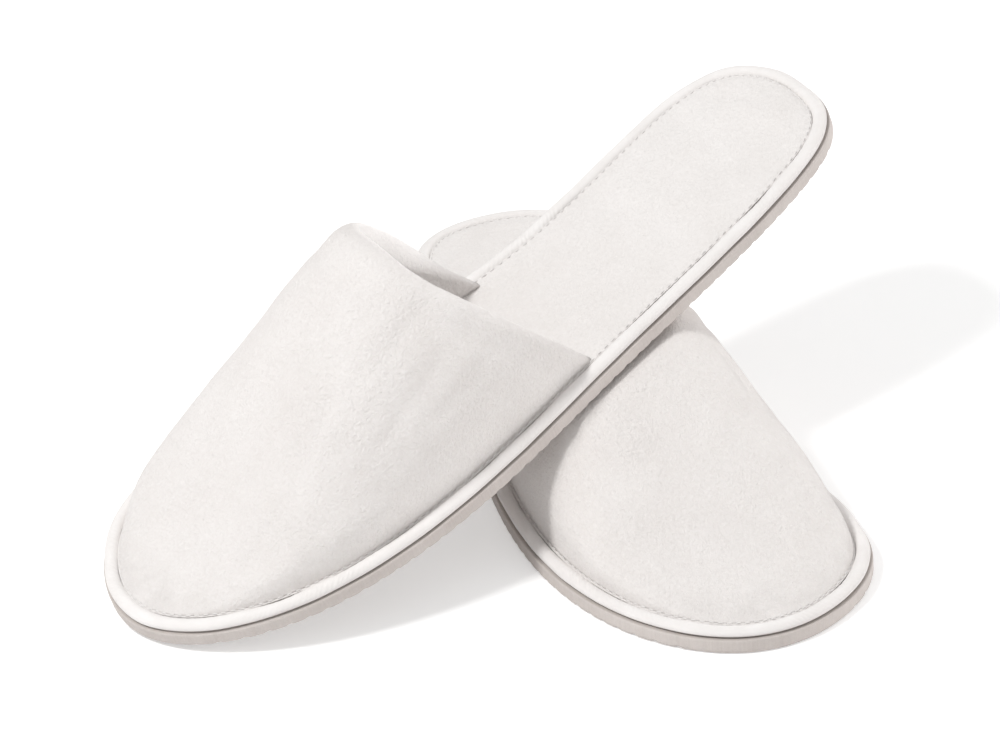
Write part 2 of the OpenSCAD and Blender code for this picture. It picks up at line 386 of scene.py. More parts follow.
def plate(name, side, along, across_top, across_bottom, rings, top, bottom):
    """A closed sheet over the outline.

    rings are (inset, height) from the top face's edge down to the bottom face's edge. top and
    bottom give the height of the two faces over points; so does a ring height of None.
    """
    outer, inner = columns(along)
    ring_positions = np.concatenate([outer, inner[-2:0:-1]])
    n = len(ring_positions)
    verts, faces, loops = [], [], []

    def add_face(inset, across, height, reverse):
        points = span(outer, inner, inset, across)
        start = sum(len(part) for part in verts)
        width = across + 1
        points = np.concatenate([points, height(points)[..., None]], 2)
        verts.append(points.reshape(-1, 3))
        for i in range(along):
            for j in range(across):
                a = start + i * width + j
                quad = (a, a + width, a + width + 1, a + 1)
                faces.append(quad if reverse else quad[::-1])
        loops.append(
            [start + i * width for i in range(along + 1)]
            + [start + i * width + across for i in range(along - 1, 0, -1)]
        )

    add_face(rings[0][0], across_top, top, False)
    for inset, height in rings[1:-1]:
        start = sum(len(part) for part in verts)
        points = rim(ring_positions, inset)
        z = height(points) if callable(height) else np.full(n, height)
        verts.append(np.c_[points, z])
        loops.append(list(range(start, start + n)))
    add_face(rings[-1][0], across_bottom, bottom, True)
    for upper, lower in zip(loops, loops[1:]):
        for k in range(n):
            m = (k + 1) % n
            faces.append((upper[k], lower[k], lower[m], upper[m]))
    return build(name, side, np.concatenate(verts), faces)


# ------------------------------------------------------------------ cloth simulation
FRAMES = 20
CLOTH = dict(
    quality=10,
    mass=0.25,
    tension_stiffness=18,
    compression_stiffness=18,
    shear_stiffness=8,
    bending_model="ANGULAR",
    tension_damping=12,
    compression_damping=12,
    bending_damping=2,
    air_damping=3,
    vertex_group_mass="held",
    pin_stiffness=1.0,
    shrink_min=-0.004,  # negative, so the cloth has a little slack
    shrink_max=-0.004,
    use_pressure=True,
    uniform_pressure_force=0.6,
)


def closed_proxy(points, index):
    """Faces of the sheet, closed below by a fan to a hub point; returns points and faces."""
    rows, cols = index.shape
    faces = []
    for i in range(rows - 1):
        for j in range(cols - 1):
            quad = (index[i, j], index[i + 1, j], index[i + 1, j + 1], index[i, j + 1])
            face = [int(v) for k, v in enumerate(quad) if v != quad[k - 1]]
            if len(face) > 2:
                faces.append(face)
    border = [
        *index[:, 0],
        *index[-1, 1:],
        *index[:-1, -1][::-1],
        *index[0, 1:-1][::-1],
    ]
    hub = len(points)
    hub_point = points[border].mean(0)
    hub_point[2] -= 0.004
    points = np.vstack([points, hub_point])
    for k, v in enumerate(border):
        if v != border[k - 1]:
            faces.append([int(v), int(border[k - 1]), hub])
    volume = sum(
        np.dot(points[f[0]], np.cross(points[f[k]], points[f[k + 1]]))
        for f in faces
        for k in range(1, len(f) - 1)
    )
    if volume < 0:
        faces = [f[::-1] for f in faces]
    return points, faces


def simulate(side, sheet, free, bending, limit):
    """Runs a sheet (rows, columns, 3) as cloth and returns how far each point moved.

    Both are in slipper millimetres. free is 0 where the cloth is held and 1 where it moves.
    Moves are softly limited to limit.
    """
    points = place(side, sheet.reshape(-1, 3))
    unique, index = np.unique(
        np.round(points * 1e5).astype(int), axis=0, return_index=True, return_inverse=True
    )[1:]
    index = index.reshape(sheet.shape[:2])
    loose = np.append(free.reshape(-1)[unique], 0.0)
    points, faces = closed_proxy(points[unique], index)
    mesh = bpy.data.meshes.new("proxy")
    mesh.from_pydata([tuple(v) for v in points], [], faces)
    proxy = bpy.data.objects.new("proxy", mesh)
    bpy.context.scene.collection.objects.link(proxy)
    group = proxy.vertex_groups.new(name="held")
    for i, v in enumerate(loose):
        group.add([i], float(1 - v), "REPLACE")
    cloth = proxy.modifiers.new("cloth", "CLOTH")
    for key, value in CLOTH.items():
        setattr(cloth.settings, key, value)
    cloth.settings.bending_stiffness = bending
    cloth.settings.effector_weights.gravity = 0.0
    cloth.collision_settings.use_collision = False
    cloth.collision_settings.use_self_collision = False
    cloth.point_cache.frame_start, cloth.point_cache.frame_end = 1, FRAMES
    scene = bpy.context.scene
    scene.frame_start, scene.frame_end = 1, FRAMES
    for frame in range(1, FRAMES + 1):
        scene.frame_set(frame)
    settled = proxy.evaluated_get(bpy.context.evaluated_depsgraph_get())
    moved = np.array([v.co for v in settled.data.vertices], float)
    scene.frame_set(1)
    bpy.data.objects.remove(proxy)
    bpy.data.meshes.remove(mesh)
    move = from_row(side, ((moved - points)[:-1] * 1000)[index])
    size = np.linalg.norm(move, axis=-1, keepdims=True)
    return move * (limit * np.tanh(size / limit) / np.maximum(size, 1e-9))


# ------------------------------------------------------------------ shader nodes
def grey(value):
    return (value, value, value)


class Shader:
    """A material with a Principled surface, and short ways to add nodes to it."""

    def __init__(self, name):
        self.material = bpy.data.materials.new(name)
        self.material.use_nodes = True
        self.tree = self.material.node_tree
        self.tree.nodes.clear()
        output = self.node("ShaderNodeOutputMaterial")
        self.bsdf = self.node("ShaderNodeBsdfPrincipled")
        self.tree.links.new(self.bsdf.outputs[0], output.inputs[0])

    def set_inputs(self, node, inputs):
        """Inputs are values, or other nodes' sockets to link."""
        for key, value in inputs.items():
            if isinstance(value, bpy.types.NodeSocket):
                self.tree.links.new(value, node.inputs[key])
            else:
                node.inputs[key].default_value = value

    def node(self, kind, inputs=None, **props):
        node = self.tree.nodes.new(kind)
        for key, value in props.items():
            setattr(node, key, value)
        self.set_inputs(node, inputs or {})
        return node

    def surface(self, inputs):
        self.set_inputs(self.bsdf, inputs)

    def math(self, operation, *values):
        inputs = dict(enumerate(values))
        return self.node("ShaderNodeMath", inputs, operation=operation).outputs[0]

    def times(self, a, b):
        return self.math("MULTIPLY", a, b)

    def plus(self, a, b):
        return self.math("ADD", a, b)

    def weighted(self, *terms):
        """Sum of (socket, weight) terms."""
        first = self.times(*terms[0])
        return self.plus(first, self.weighted(*terms[1:])) if terms[1:] else first

    def scaled(self, vector, scale):
        inputs = {0: vector, 1: scale}
        return self.node("ShaderNodeVectorMath", inputs, operation="MULTIPLY").outputs[0]

    def dot(self, vector, direction):
        inputs = {0: vector, 1: direction}
        node = self.node("ShaderNodeVectorMath", inputs, operation="DOT_PRODUCT")
        return node.outputs["Value"]

    def coords(self, scale=(1, 1, 1)):
        """Slipper millimetres, scaled."""
        flat = self.node("ShaderNodeAttribute", attribute_name="flat")
        return self.scaled(flat.outputs["Vector"], scale)

    def noise(self, vector, scale, detail=2.0, rough=0.55, distortion=0.0):
        inputs = {
            "Vector": vector,
            "Scale": scale,
            "Detail": detail,
            "Roughness": rough,
            "Distortion": distortion,
        }
        return self.node("ShaderNodeTexNoise", inputs).outputs["Fac"]

    def cells(self, vector, scale):
        inputs = {"Vector": vector, "Scale": scale}
        return self.node("ShaderNodeTexVoronoi", inputs, feature="F1").outputs["Distance"]

    def ramp(self, value, low, high):
        """Colours between two stops, each (position, colour)."""
        node = self.node("ShaderNodeValToRGB", {"Fac": value})
        for element, (position, colour) in zip(node.color_ramp.elements, (low, high)):
            element.position = position
            element.color = (*colour, 1)
        return node.outputs["Color"]

    def mix(self, share, base, colour):
        """base mixed towards a fixed colour."""
        inputs = {0: share, 6: base, 7: (*colour, 1)}  # factor, colour A, colour B
        return self.node("ShaderNodeMix", inputs, data_type="RGBA").outputs[2]

    def bump(self, height, strength, distance):
        inputs = {"Height": height, "Strength": strength, "Distance": distance}
        self.surface({"Normal": self.node("ShaderNodeBump", inputs).outputs[0]})

    def height(self, vector):
        return self.node("ShaderNodeSeparateXYZ", {0: vector}).outputs["Z"]

    def between(self, value, start, end):
        """0 where value is start, 1 where it is end."""
        inputs = {"Value": value, "From Min": start, "From Max": end}
        return self.node("ShaderNodeMapRange", inputs).outputs[0]

    def rubbed(self, vector, scale=0.12):
        """Uneven patches of wear."""
        patches = self.noise(vector, scale=scale, detail=4.0, rough=0.7)
        return self.ramp(patches, (0.38, grey(0.15)), (0.66, grey(1)))

    def lines(self, vector, direction, pitch, wobble, amount):
        """Sine lines across direction, bent by amount times the wobble field."""
        phase = self.dot(vector, tuple(c / pitch * 2 * math.pi for c in direction))
        return self.math("SINE", self.plus(phase, self.times(wobble, amount)))


# ------------------------------------------------------------------ materials
def velour(name, light, dark, pile=1.0, foot=None):
    """Short dense pile: fine clumps, fibre streaks along x, brushed patches, soft sheen.

    foot is the pair of heights between which the cloth grows scuffed, for the vamp only.
    With it the turned-in cloth also gets painted light: a paler colour and a faint glow.
    """
    s = Shader(name)
    v = s.coords()
    streak = s.coords((0.28, 1.0, 0.6))
    clump = s.noise(v, scale=0.85, detail=3.0, rough=0.62, distortion=0.4)
    fibre = s.noise(streak, scale=3.2, detail=3.0, rough=0.7)
    patch = s.noise(v, scale=0.045, detail=3.0, rough=0.5)
    fine = s.noise(v, scale=5.0, rough=0.6)
    tone = s.weighted((patch, 0.34), (clump, 0.38), (fibre, 0.28))
    base = s.ramp(tone, (0.36, dark), (0.62, light))
    if foot:
        # Scuffed and a little soiled low down, next to the bead.
        worn = s.times(s.between(s.height(v), *foot), s.rubbed(v))
        base = s.mix(s.times(worn, 0.55), base, tuple(c * 0.86 for c in dark))
        # Painted light: the turned-in cloth of the hem band is made paler and glows faintly,
        # standing in for light inside the throat.
        turned = s.node("ShaderNodeAttribute", attribute_name="inner").outputs["Fac"]
        base = s.mix(turned, base, (0.95, 0.925, 0.912))
        # Painted glow: emission on the turned-in cloth, though it is no lamp.
        s.surface({
            "Emission Color": (1.0, 0.965, 0.945, 1),
            "Emission Strength": s.times(turned, 0.15),
        })
    s.surface({
        "Base Color": base,
        "Roughness": 0.95,
        "Specular IOR Level": 0.12,
        "Sheen Weight": 0.35,
        "Sheen Roughness": 0.45,
        "Sheen Tint": (1.0, 0.985, 0.975, 1),
    })
    relief = s.weighted((clump, 0.6), (fibre, 0.3), (fine, 0.1))
    # Rucked pile, in patches.
    where = s.ramp(s.noise(v, scale=0.025), (0.45, grey(0.1)), (0.6, grey(1)))
    ruck = s.noise(s.coords((0.8, 1.0, 1.0)), scale=0.42, rough=0.5, distortion=0.6)
    relief = s.plus(relief, s.times(s.times(ruck, where), 0.7 * pile))
    s.bump(relief, strength=0.95 * pile, distance=0.001)
    return s.material


def woven(name, light, dark, pitch, gathers=None):
    """Plain fine weave from two crossed sets of yarns.

    gathers is the pitch of the binding's gathers. With it the cloth follows the UV map, the
    bead's crest is worn, and its underside is darkened with painted shade.
    """
    s = Shader(name)
    if gathers:
        uv = s.node("ShaderNodeUVMap", uv_map="UVMap").outputs[0]
        v = s.scaled(uv, (1000, 1000, 0))
    else:
        v = s.coords()
    warp = s.noise(v, scale=0.5)
    yarns = [s.lines(v, d, pitch, warp, amount=2.2) for d in ((1, 0.12, 0), (0.1, 1, 0))]
    weave = s.times(*yarns)
    relief = s.times(weave, 0.35)
    if gathers:
        bend = s.noise(v, scale=0.16)
        gather = s.lines(v, (0.8, 0.6, 0), gathers, bend, amount=9.0)
        where = s.ramp(s.noise(v, scale=0.035), (0.42, grey(0)), (0.62, grey(1)))
        relief = s.plus(relief, s.times(s.times(gather, where), 0.8))
    patch = s.noise(v, scale=0.06, detail=3.0)
    tone = s.weighted((patch, 0.8), (weave, 0.12))
    base = s.ramp(tone, (0.2, dark), (0.6, light))
    if gathers:
        # The bead's crest is rubbed pale in patches. Low on the bead the colour is darkened:
        # painted shade under it.
        local = s.coords()
        crest = s.times(s.between(s.height(local), 7.55, 8.1), s.rubbed(local, scale=0.2))
        base = s.mix(s.times(crest, 0.5), base, (0.90, 0.88, 0.87))
        under_bead_shade = s.between(s.height(local), 6.1, 5.4)
        base = s.mix(s.times(under_bead_shade, 0.8), base, (0.60, 0.555, 0.53))
    s.surface({
        "Base Color": base,
        "Roughness": 0.7,
        "Specular IOR Level": 0.25,
        "Sheen Weight": 0.2,
    })
    s.bump(relief, strength=0.5, distance=0.00012)
    return s.material


def eva(name):
    """Closed-cell foam: fine pores, knife marks down the cut wall, a top edge darkened by glue
    and painted shade, scuffs.
    """
    s = Shader(name)
    v = s.coords()
    z = s.height(v)
    pores = s.cells(v, scale=1.6)
    grain = s.noise(v, scale=2.6, detail=3.0, rough=0.6)
    knife = s.noise(s.coords((1.0, 1.0, 0.05)), scale=1.7, rough=0.6)
    patch = s.noise(v, scale=0.05, detail=3.0, rough=0.6)
    tone = s.weighted((patch, 0.45), (grain, 0.3), (knife, 0.25))
    base = s.ramp(tone, (0.3, (0.53, 0.48, 0.452)), (0.68, (0.67, 0.62, 0.592)))
    # The top edge under the bead is darker: partly the glue line, partly painted shade. The ribs
    # underneath are scuffed.
    glue_line_and_shade = s.between(z, 4.6, 4.86)
    base = s.mix(s.times(glue_line_and_shade, 0.4), base, (0.36, 0.325, 0.30))
    patches = s.noise(v, scale=0.11, detail=4.0, rough=0.7)
    scuff = s.ramp(patches, (0.55, grey(0)), (0.72, grey(1)))
    low = s.between(z, 0.9, 0.1)
    base = s.mix(s.times(s.times(scuff, low), 0.35), base, (0.31, 0.28, 0.26))
    s.surface({"Base Color": base, "Roughness": 0.72, "Specular IOR Level": 0.3})
    relief = s.weighted((pores, 0.5), (grain, 0.3), (knife, 0.4))
    s.bump(relief, strength=0.4, distance=0.00025)
    return s.material


def sponge(name, light, dark):
    """Open-cell sponge: rounded cells with darker holes."""
    s = Shader(name)
    v = s.coords()
    cells = s.cells(v, scale=1.3)
    tone = s.weighted((cells, 0.7), (s.noise(v, scale=0.07), 0.3))
    s.surface({"Base Color": s.ramp(tone, (0.15, dark), (0.6, light)), "Roughness": 0.9})
    s.bump(cells, strength=0.7, distance=0.0004)
    return s.material


def fibreboard(name):
    """Pressed board: flecks and long fibres."""
    s = Shader(name)
    fibres = s.noise(s.coords((0.25, 1.0, 1.0)), scale=1.6, detail=4.0, rough=0.7)
    fleck = s.noise(s.coords(), scale=0.7, detail=3.0, rough=0.7)
    tone = s.weighted((fibres, 0.6), (fleck, 0.4))
    base = s.ramp(tone, (0.3, (0.33, 0.235, 0.15)), (0.7, (0.55, 0.43, 0.30)))
    s.surface({"Base Color": base, "Roughness": 0.85})
    s.bump(fibres, strength=0.4, distance=0.0002)
    return s.material


def thread(name):
    """Twisted sewing thread."""
    s = Shader(name)
    v = s.coords()
    ply = s.math("SINE", s.dot(v, (14.0, 14.0, 22.0)))
    fuzz = s.noise(v, scale=6.0)
    tone = s.plus(s.times(ply, 0.25), fuzz)
    base = s.ramp(tone, (0.2, (0.78, 0.75, 0.73)), (0.8, (0.90, 0.88, 0.865)))
    s.surface({"Base Color": base, "Roughness": 0.55, "Sheen Weight": 0.3})
    s.bump(ply, strength=0.5, distance=0.0001)
    return s.material


MATERIALS = {
    "vamp_velour": velour(
        "vamp_velour", light=(0.875, 0.843, 0.825), dark=(0.80, 0.76, 0.738),
        foot=(13.0, Z_FOOT),
    ),
    "insole_velour": velour(
        "insole_velour", light=(0.885, 0.855, 0.838), dark=(0.815, 0.78, 0.758), pile=0.8
    ),
    "binding_fabric": woven(
        "binding_fabric", light=(0.862, 0.835, 0.82), dark=(0.79, 0.758, 0.738),
        pitch=0.5, gathers=1.5,
    ),
    "lining_fabric": woven(
        "lining_fabric", light=(0.93, 0.905, 0.89), dark=(0.86, 0.825, 0.81), pitch=0.7
    ),
    "thread": thread("thread"),
    "eva_outsole": eva("eva_outsole"),
    "sponge": sponge("sponge", light=(0.90, 0.875, 0.83), dark=(0.60, 0.57, 0.52)),
    "fibreboard": fibreboard("fibreboard"),
}


# ------------------------------------------------------------------ sole layers
TREAD_PITCH = 6.0
GROOVE_DEPTH = 0.62


def tread(xy):
    """Height of the ribbed underside: evenly pitched cross grooves, a little uneven."""
    x = xy[..., 0] + 0.35 * waves(xy, size=18, seed=5)
    k = (x - LENGTH / 2) / TREAD_PITCH - 0.5
    off = np.abs(k - np.round(k)) * TREAD_PITCH
    groove = GROOVE_DEPTH * (1 - smooth(off, 0.3, 1.3))
    # The grooves fade out at both tips.
    fade = smooth(xy[..., 0], 7.5, 10)
    fade = fade * (1 - smooth(xy[..., 0], LENGTH - 10, LENGTH - 7.5))
    wear = 0.82 + 0.18 * waves(xy, size=14, seed=9)
    return np.clip(groove * fade * wear, 0, 0.75)


def outsole(side):
    rings = [
        (0.85, None),
        (0.45, 4.86),
        (0.18, 4.74),
        (0.03, 4.5),
        (0.0, 4.1),
        (0.02, 3.3),
        (0.04, 2.4),
        (0.02, 1.7),
        (0.05, lambda p: 1.05 + 0.5 * tread(p)),
        (0.22, lambda p: 0.45 + 0.8 * tread(p)),
        (0.55, lambda p: 0.12 + 0.95 * tread(p)),
        (1.0, None),
    ]
    return plate(
        f"{side}_outsole", side, along=620, across_top=6, across_bottom=26,
        rings=rings, top=level(Z_BOARD - 0.02), bottom=tread,
    )


def board(side):
    """Stiff board on the outsole."""
    bottom, top = Z_BOARD + 0.03, Z_FOAM - 0.03
    rings = [
        (LAYER_IN + 0.15, None),
        (LAYER_IN, top - 0.12),
        (LAYER_IN, bottom + 0.12),
        (LAYER_IN + 0.15, None),
    ]
    return plate(
        f"{side}_insole_board", side, along=150, across_top=14, across_bottom=14,
        rings=rings,
        top=lambda p: top + 0.015 * waves(p, size=9, seed=21),
        bottom=level(bottom),
    )


def pad(side):
    """Foam between the board and the cover."""
    bottom, top = Z_FOAM + 0.02, Z_COVER - 0.05
    rings = [
        (LAYER_IN + 0.5, None),
        (LAYER_IN + 0.15, top - 0.12),
        (LAYER_IN, top - 0.45),
        (LAYER_IN, bottom + 0.35),
        (LAYER_IN + 0.3, None),
    ]
    return plate(
        f"{side}_insole_foam", side, along=170, across_top=20, across_bottom=12,
        rings=rings,
        top=lambda p: top - 0.03 + 0.03 * waves(p, size=12, seed=31),
        bottom=level(bottom),
    )


PAD_ALONG, PAD_ACROSS = 64, 18  # steps of the simulated insole


def relax_pad(side):
    """The insole's top as held cloth: pushed up by its foam, held at the stitches."""
    inset = EDGE_IN + 0.4
    points = span(*columns(PAD_ALONG), inset, PAD_ACROSS)
    distance, _ = edge_distance(points, inset)
    uneven = waves(points, size=22, seed=STYLE[side].pad_seed)
    z = 7.6 + 0.15 * uneven * smooth(distance, 0, 8)
    free = 0.9 * smooth(distance, 0.5, 7)
    sheet = np.concatenate([points, z[..., None]], 2)
    return simulate(side, sheet, free, bending=3.0, limit=1.0)


def cover(side):
    """Velour sock over the foam, with a soft groove along the stitches and a gentle crown."""
    lift = relax_pad(side)[..., 2:]

    def top(points):
        distance, nearest = edge_distance(points, COVER_IN)
        # Under the vamp the padding starts further from the edge.
        under = smooth(points[..., 0], 116, 126)
        padded = np.maximum(0, distance - 5.2 * under)
        puff = 0.85 * (1 - np.exp(-((padded / 2.6) ** 1.3)))
        crown = 0.25 * smooth(padded, 3, 22)
        uneven = waves(points, size=26, seed=STYLE[side].cover_seed)
        soft = 0.10 * uneven * smooth(padded, 1, 9)
        stitch_wave = np.cos(nearest / RIM_STEPS * STITCHES * 2 * math.pi)
        pucker = 0.10 * stitch_wave * hill(distance, 0.8, 1.2)
        z = 7.38 + puff + crown + soft + pucker
        if lift is not None:
            row, col = np.meshgrid(
                np.linspace(0, PAD_ALONG, points.shape[0]),
                np.linspace(0, PAD_ACROSS, points.shape[1]),
                indexing="ij",
            )
            raised = np.clip(spread(lift, row, col)[..., 0], -0.3, 1.0)
            z = z + raised * smooth(distance, 0.5, 6)
        return z

    rings = [
        (COVER_IN, None),
        (COVER_IN - 0.12, 7.26),
        (COVER_IN - 0.1, 7.14),
        (COVER_IN + 0.1, None),
    ]
    return plate(
        f"{side}_insole_cover", side, along=420, across_top=64, across_bottom=16,
        rings=rings, top=top, bottom=level(Z_COVER + 0.02),
    )


# ------------------------------------------------------------------ binding and its stitches
# Section of the bead: distance in from the outline, height. It starts under the bead and goes
# round by the outside.
BEAD = np.array([
    (3.6, 4.93), (3.45, 5.14), (3.1, 5.3), (2.2, 5.34), (1.35, 5.38), (1.05, 5.5),
    (0.82, 5.78), (0.75, 6.2), (0.84, 6.7), (1.12, 7.16), (1.6, 7.58), (2.2, 7.88),
    (2.85, 8.04), (3.45, 8.06), (4.05, 7.95), (4.6, 7.75), (5.0, 7.5), (5.32, 7.2),
    (5.48, 6.95), (5.4, 6.6), (5.15, 5.9), (5.0, 5.3), (4.8, 4.95), (4.2, 4.93),
])
BEAD_CENTRE = (3.2, 6.6)


def binding(side):
    n, m = 3 * STITCHES, len(BEAD)
    positions = np.arange(n) * RIM_STEPS / n
    turns = np.arange(n) / n
    angle = turns * 2 * math.pi
    rng = np.random.RandomState(STYLE[side].bead_seed)

    def ripple(fewest, most):
        total = np.zeros(n)
        for _ in range(10):
            total += np.sin(angle * rng.randint(fewest, most) + rng.uniform(0, 6.28))
        return total / math.sqrt(5)

    plump = 1 + 0.022 * ripple(9, 38)
    sway = 0.10 * ripple(7, 30)
    pull = 0.5 - 0.5 * np.cos(angle * STITCHES)  # dips once per stitch
    verts = np.empty((n, m, 3))
    for k, (inset0, z0) in enumerate(BEAD):
        grow = plump if z0 > 5.55 else np.ones(n)
        inset = BEAD_CENTRE[0] + (inset0 - BEAD_CENTRE[0]) * grow
        z = BEAD_CENTRE[1] + (z0 - BEAD_CENTRE[1]) * grow
        inset = inset + sway * smooth(z0, 5.3, 6.6)
        near_stitch = hill(inset0, 5.1, 0.9) * float(z0 > 6.8)
        z = z - 0.10 * near_stitch * pull
        inset = inset - 0.05 * near_stitch * pull
        verts[:, k, :2] = rim(positions, inset)
        verts[:, k, 2] = z
    # UVs are metres along the rim and round the section.
    sides = np.linalg.norm(np.diff(np.vstack([BEAD, BEAD[:1]]), axis=0), axis=1)
    girth = np.concatenate([[0], np.cumsum(sides)])
    faces, uvs = [], []
    for i in range(n):
        i2 = (i + 1) % n
        u0, u1 = turns[i] * PERIMETER / 1000, (turns[i] + 1 / n) * PERIMETER / 1000
        for k in range(m):
            k2 = (k + 1) % m
            v0, v1 = girth[k] / 1000, girth[k + 1] / 1000
            faces.append((i * m + k2, i2 * m + k2, i2 * m + k, i * m + k))
            uvs.append([(u0, v1), (u1, v1), (u1, v0), (u0, v0)])
    return build(f"{side}_edge_binding", side, verts.reshape(-1, 3), faces, uvs=uvs)


def stitches(side):
    """One short thread per stitch, its ends sinking into the cloth."""
    rings, sides = 9, 8
    half_share = 0.36  # half of a thread's length, as a share of the pitch
    t = np.linspace(-1, 1, rings)
    radius = 0.25 * np.sqrt(np.clip(1 - np.abs(t) ** 3.2, 0.02, 1))
    height = 7.60 - 0.30 * np.abs(t) ** 2.4
    verts, faces = [], []
    for stitch in range(STITCHES):
        middle = rim((stitch + 0.5 + t * half_share) * RIM_STEPS / STITCHES, 5.92)
        along = np.gradient(middle, axis=0)
        along /= np.linalg.norm(along, axis=1)[:, None]
        normal = np.stack([along[:, 1], -along[:, 0]], 1)
        start = len(verts)
        for k in range(rings):
            for j in range(sides):
                angle = 2 * math.pi * j / sides
                x, y = middle[k] + normal[k] * radius[k] * math.cos(angle)
                verts.append((x, y, height[k] + radius[k] * math.sin(angle)))
        for k in range(rings - 1):
            for j in range(sides):
                j2 = (j + 1) % sides
                a = start + k * sides
                faces.append((a + j, a + sides + j, a + sides + j2, a + j2))
        faces.append(tuple(start + j for j in range(sides)))
        last = start + (rings - 1) * sides
        faces.append(tuple(last + j for j in range(sides - 1, -1, -1)))
    return build(f"{side}_binding_stitch", side, verts, faces, weld=False)


# ------------------------------------------------------------------ vamp surface
# A place on the vamp has an arch angle, in degrees from the outer side (0) over the top to the
# inner side (180), a share from throat (0) to toe (1), and a depth inside the outer face.
OUTER_FOOT, INNER_FOOT = rim(OUTER_RUN, FOOT_IN), rim(INNER_RUN, FOOT_IN)
VAMP_TIP_X, VAMP_TIP_Y = (float(c) for c in OUTER_FOOT[-1])
ARCH_POWER = 2 / 2.25  # the arch is a superellipse
ARCH_MM = 1.1  # nominal millimetres per degree round the arch


def arch_steps(count):
    return 180 * np.linspace(0, 1, count + 1)


def rise(u):
    """Share of the vamp's height, u from the toe (0) to the top of the throat (1)."""
    return u**1.25 * (1 + 0.9 * u * (1 - u))


def throat_x(arch):
    top = THROAT_TOP - (THROAT_OUTER + THROAT_INNER) / 2
    return (
        THROAT_OUTER
        + (THROAT_INNER - THROAT_OUTER) * arch / 180
        + top * np.sin(np.radians(arch)) ** 0.94
    )


def vamp_at(arch, share, depth, height):
    """Points of the vamp."""
    arch, share, depth = np.broadcast_arrays(
        np.clip(np.asarray(arch, float), 0, 180),
        np.asarray(share, float),
        np.asarray(depth, float),
    )
    sine, cosine = np.sin(np.radians(arch)).clip(0), np.cos(np.radians(arch))
    tip = VAMP_TIP_X - 1.5 * np.maximum(depth, 0)
    throat = throat_x(arch)
    x = throat + (tip - throat) * np.sin(np.radians(90 * share))
    u = np.clip((tip - x) / (tip - THROAT_TOP), 0, 1.3)
    foot_out = np.interp(x, OUTER_FOOT[:, 0], OUTER_FOOT[:, 1])
    foot_in = np.interp(-x, -INNER_FOOT[:, 0], INNER_FOOT[:, 1])
    y_out = foot_out - depth + BULGE * sine * u
    y_in = foot_in + depth - BULGE * sine * u
    y_mid = (foot_out + foot_in) / 2 * (1 - np.minimum(u, 1))
    k = np.abs(cosine) ** ARCH_POWER
    y = np.where(cosine >= 0, y_mid + (y_out - y_mid) * k, y_mid + (y_in - y_mid) * k)
    z = Z_FOOT + (height - depth) * rise(u) * sine**ARCH_POWER
    end = share >= 1 - 1e-9
    return np.stack(
        [np.where(end, tip, x), np.where(end, VAMP_TIP_Y, y), np.where(end, Z_FOOT, z)], -1
    )


def throat_scale(arch, height):
    """Shares, and for each arch angle their distances from the throat edge."""
    shares = np.linspace(-0.05, 1, 316)
    edge = 15  # index of share 0
    points = vamp_at(arch[:, None], shares[None, :], 0.0, height)
    step = np.linalg.norm(np.diff(points, axis=1), axis=2)
    distances = np.concatenate([np.zeros((len(arch), 1)), np.cumsum(step, axis=1)], 1)
    return shares, distances - distances[:, edge : edge + 1]


def share_at(distance, scale):
    """Share at each distance from the throat edge, one row per arch angle."""
    shares, tables = scale
    return np.stack([np.interp(row, table, shares) for row, table in zip(distance, tables)])


def hem_start(arch):
    """Distance from the throat edge where the rolled hem begins, round the arch."""
    return 2.3 + 2.9 * np.sqrt(np.sin(np.radians(arch)).clip(0))


def from_ends(arch):
    """Degrees from the nearer end of the arch."""
    return np.minimum(arch, 180 - arch)


def thin(arch):
    """The layers are squeezed together where the vamp's ends are sewn down."""
    return 1 - 0.45 * (1 - smooth(from_ends(arch), 0, 24))


def unrolled(x, arch):
    """The vamp laid out flat, for folds and unevenness."""
    return np.stack([x, arch * ARCH_MM], -1)


# ------------------------------------------------------------------ vamp folds and pressing
SAG_ARCH, SAG_SHARE = 40, 34  # steps of the simulated vamp


@cache
def relax_vamp(side):
    """The vamp as held cloth: sewn down at its foot, stiff at the hem, a little slack."""
    style = STYLE[side]
    arch = arch_steps(SAG_ARCH)
    start = share_at(hem_start(arch)[:, None], throat_scale(arch, style.height))
    r = np.linspace(0, 1, SAG_SHARE + 1)[None, :]
    shares = start + (1 - start) * r
    arch = np.broadcast_to(arch[:, None], shares.shape)
    sheet = vamp_at(arch, shares, 0.0, style.height)
    free = (
        smooth(from_ends(arch), 1, 24)
        * smooth(r, -0.02, 0.12)
        * (1 - smooth(r, 0.88, 1.0))
        * smooth(sheet[..., 2], 8, 15)
    )
    # A little unevenness starts the folds.
    flat = unrolled(sheet[..., 0], arch)
    sheet[..., 2] += 0.3 * waves(flat, size=20, seed=style.fold_seed) * free
    return simulate(side, sheet, free, bending=4.0, limit=style.sag_limit)


def sag(side, arch, share):
    """The simulated move of the vamp."""
    stations = arch_steps(60)
    scale = throat_scale(stations, STYLE[side].height)
    starts = share_at(hem_start(stations)[:, None], scale)[:, 0]
    start = np.interp(arch, stations, starts)
    r = np.clip((share - start) / (1 - start), 0, 1)
    return spread(relax_vamp(side), arch / 180 * SAG_ARCH, r * SAG_SHARE)


def crease(flat, x0, arch0, x1, arch1, depth, width):
    """Depth of one soft fold over the unrolled vamp, with a low ridge beside it."""
    line = np.array([x1 - x0, (arch1 - arch0) * ARCH_MM])
    length = np.linalg.norm(line)
    line /= length
    offset = flat - np.array([x0, arch0 * ARCH_MM])
    t = offset @ line
    beside = offset @ np.array([-line[1], line[0]]) + 1.6 * np.sin(t / length * 5.0 + x0)
    ends = smooth(t, 0, length * 0.3) * (1 - smooth(t, length * 0.65, length))
    return ends * depth * (hill(beside, 0, width) - 0.55 * hill(beside, 1.9 * width, width))


